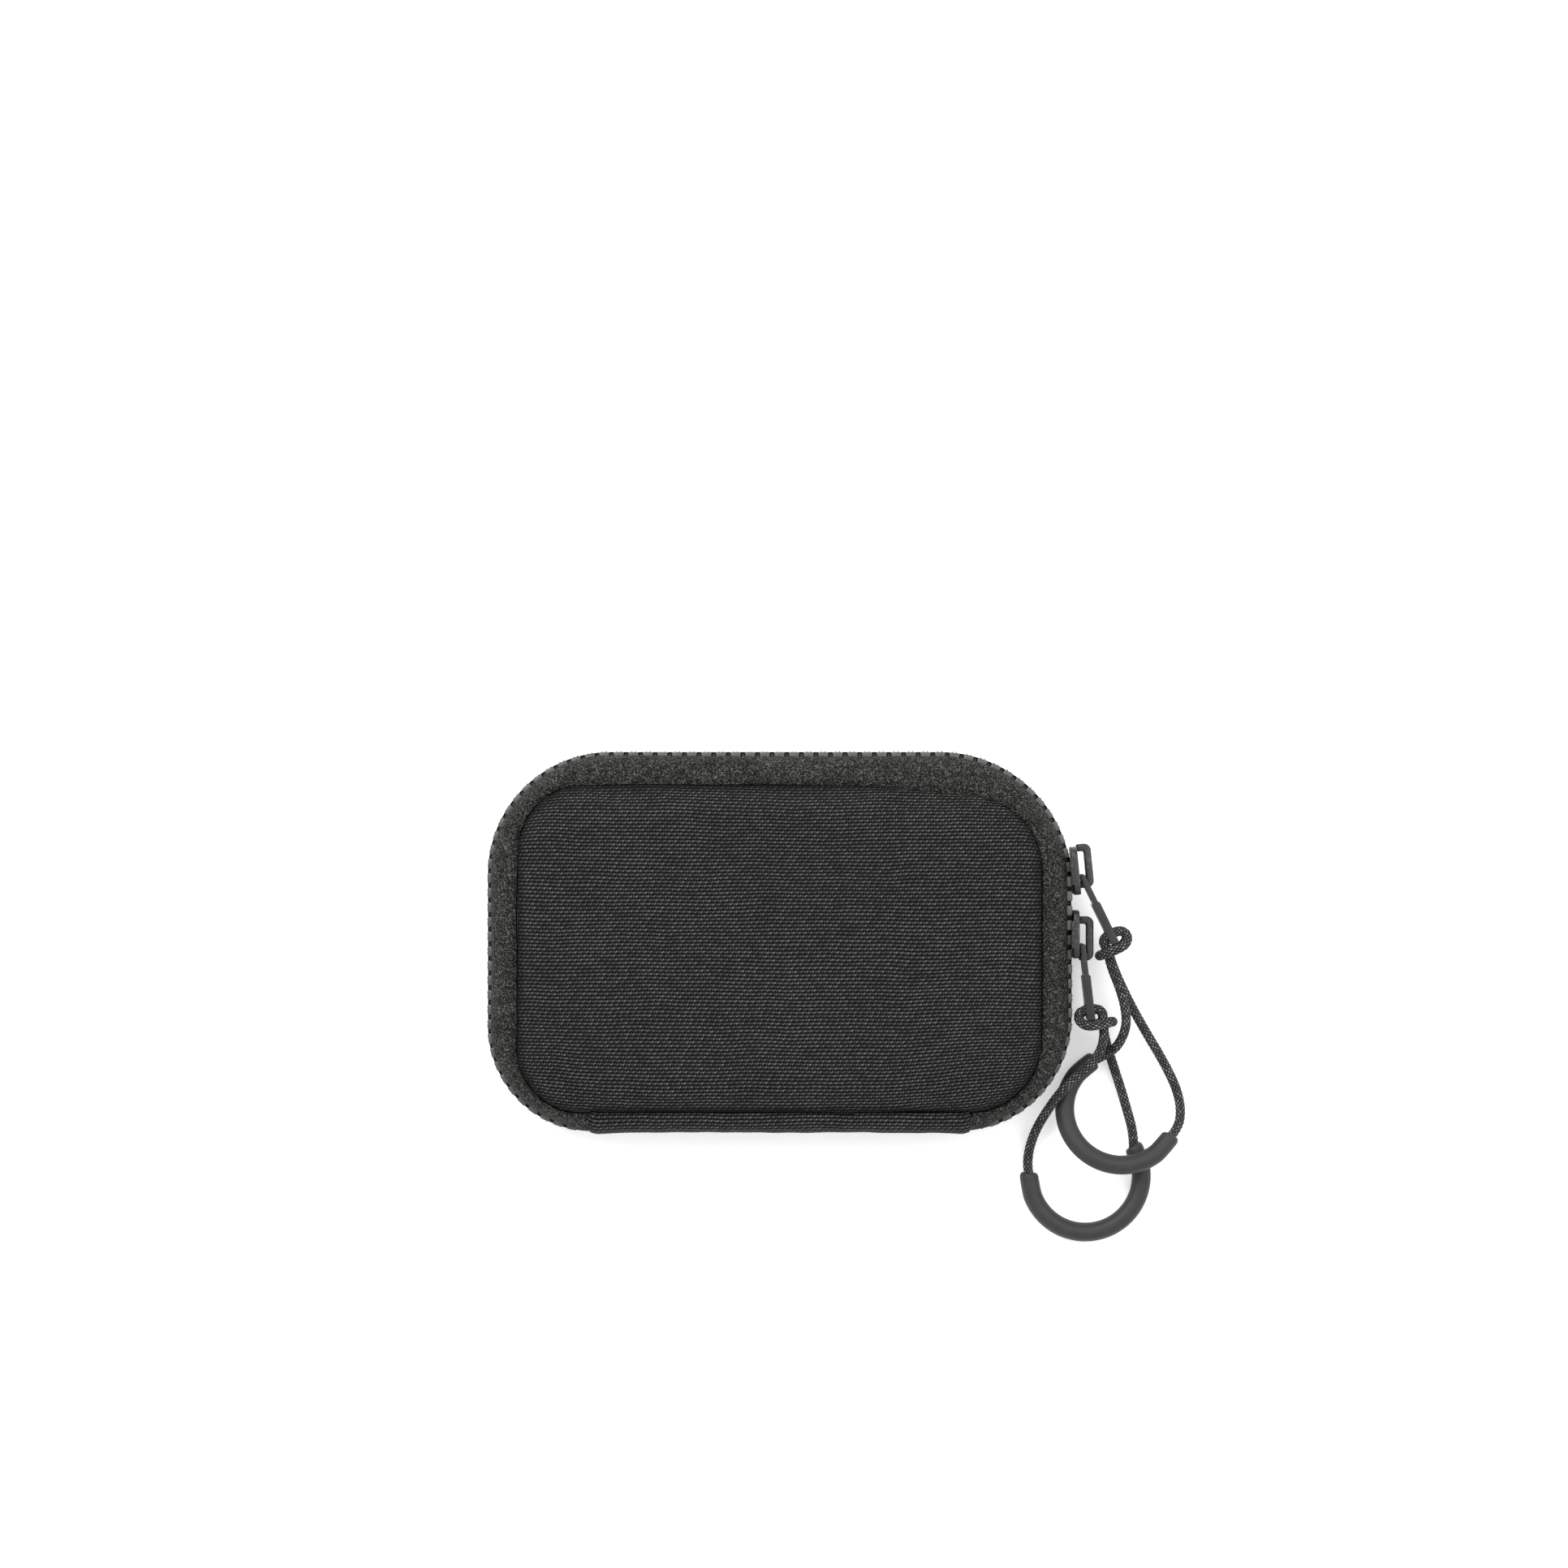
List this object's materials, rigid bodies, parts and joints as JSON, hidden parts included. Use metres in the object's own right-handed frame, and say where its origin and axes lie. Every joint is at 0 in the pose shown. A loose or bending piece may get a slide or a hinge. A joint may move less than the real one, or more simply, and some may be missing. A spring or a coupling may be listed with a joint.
{
  "type": "zippered pouch",
  "caption": "Small rounded zippered pouch with padded woven panels, a folding base gusset and a three-sided zip with two sliders, each with a corded U-shaped pull.",
  "frame": {"origin": "centre of the flat back face that the pouch rests on", "axes": "+X along the base (the long side), +Y from the base to the top edge, +Z out of the front panel"},
  "size_m": [0.1487, 0.1046, 0.02],
  "materials": {
    "weave": "matte ballistic weave",
    "foam": "matte closed-cell foam",
    "lining": "satin woven lining",
    "zip_tape": "matte knitted tape",
    "binding": "matte ribbed binding",
    "zip_teeth": "satin moulded plastic",
    "slider_metal": "matte dark grey paint",
    "tab_metal": "matte dark grey paint",
    "puller_plastic": "satin moulded plastic",
    "cord": "matte braided cord"
  },
  "bodies": {
    "back_half": {"back_panel": "weave", "back_foam": "foam", "back_lining": "lining", "back_zip_tape": "zip_tape", "back_seam_binding": "binding", "back_gusset_edge": "weave", "back_zip_teeth": "zip_teeth"},
    "base": {"base_gusset": "weave", "base_lining": "lining"},
    "front_half": {"front_panel": "weave", "front_foam": "foam", "front_lining": "lining", "front_zip_tape": "zip_tape", "front_seam_binding": "binding", "front_gusset_edge": "weave", "front_zip_teeth": "zip_teeth"},
    "slider_upper": {"slider_body_upper": "slider_metal", "bail_upper": "slider_metal"},
    "slider_lower": {"slider_body_lower": "slider_metal", "bail_lower": "slider_metal"},
    "tab_upper": {"pull_tab_upper": "tab_metal"},
    "tab_lower": {"pull_tab_lower": "tab_metal"},
    "puller_upper": {"cord_puller_upper": "puller_plastic", "cord_upper": "cord"},
    "puller_lower": {"cord_puller_lower": "puller_plastic", "cord_lower": "cord"}
  },
  "joints": [
    {"name": "base_fold", "type": "hinge", "parent": "back_half", "child": "base", "pos_m": [0, -0.0403, 0.0062], "axis": [1, 0, 0], "range_deg": [0, 60]},
    {"name": "front_fold", "type": "hinge", "parent": "base", "child": "front_half", "pos_m": [0, -0.0403, 0.0138], "axis": [1, 0, 0], "range_deg": [0, 60]},
    {"name": "slider_upper_travel", "type": "hinge", "parent": "back_half", "child": "slider_upper", "pos_m": [0.034, 0.0123, 0.01], "axis": [0, 0, 1], "range_deg": [0, 80], "deforming": ["front_zip_teeth", "back_zip_teeth"]},
    {"name": "slider_lower_travel", "type": "slide", "parent": "back_half", "child": "slider_lower", "axis": [0, -1, 0], "range_m": [0, 0.0095]},
    {"name": "tab_upper_swing", "type": "hinge", "parent": "slider_upper", "child": "tab_upper", "pos_m": [0.06424, 0.01381, 0.01], "axis": [0, 0, 1], "range_deg": [0, 100]},
    {"name": "tab_lower_swing", "type": "hinge", "parent": "slider_lower", "child": "tab_lower", "pos_m": [0.06425, -0.0009, 0.01], "axis": [0, 0, 1], "range_deg": [0, 60]},
    {"name": "puller_upper_hang", "type": "hinge", "parent": "tab_upper", "child": "puller_upper", "pos_m": [0.06424, 0.01381, 0.01], "axis": [0, 0, 1], "range_deg": [-100, 0], "deforming": ["cord_upper"]},
    {"name": "puller_lower_hang", "type": "hinge", "parent": "tab_lower", "child": "puller_lower", "pos_m": [0.06425, -0.0009, 0.01], "axis": [0, 0, 1], "range_deg": [-60, 0], "deforming": ["cord_lower"]}
  ],
  "couplings": [
    {"joint": "front_fold", "follows": "base_fold", "ratio": 1},
    {"joint": "puller_upper_hang", "follows": "tab_upper_swing", "ratio": -1},
    {"joint": "puller_lower_hang", "follows": "tab_lower_swing", "ratio": -1}
  ]
}
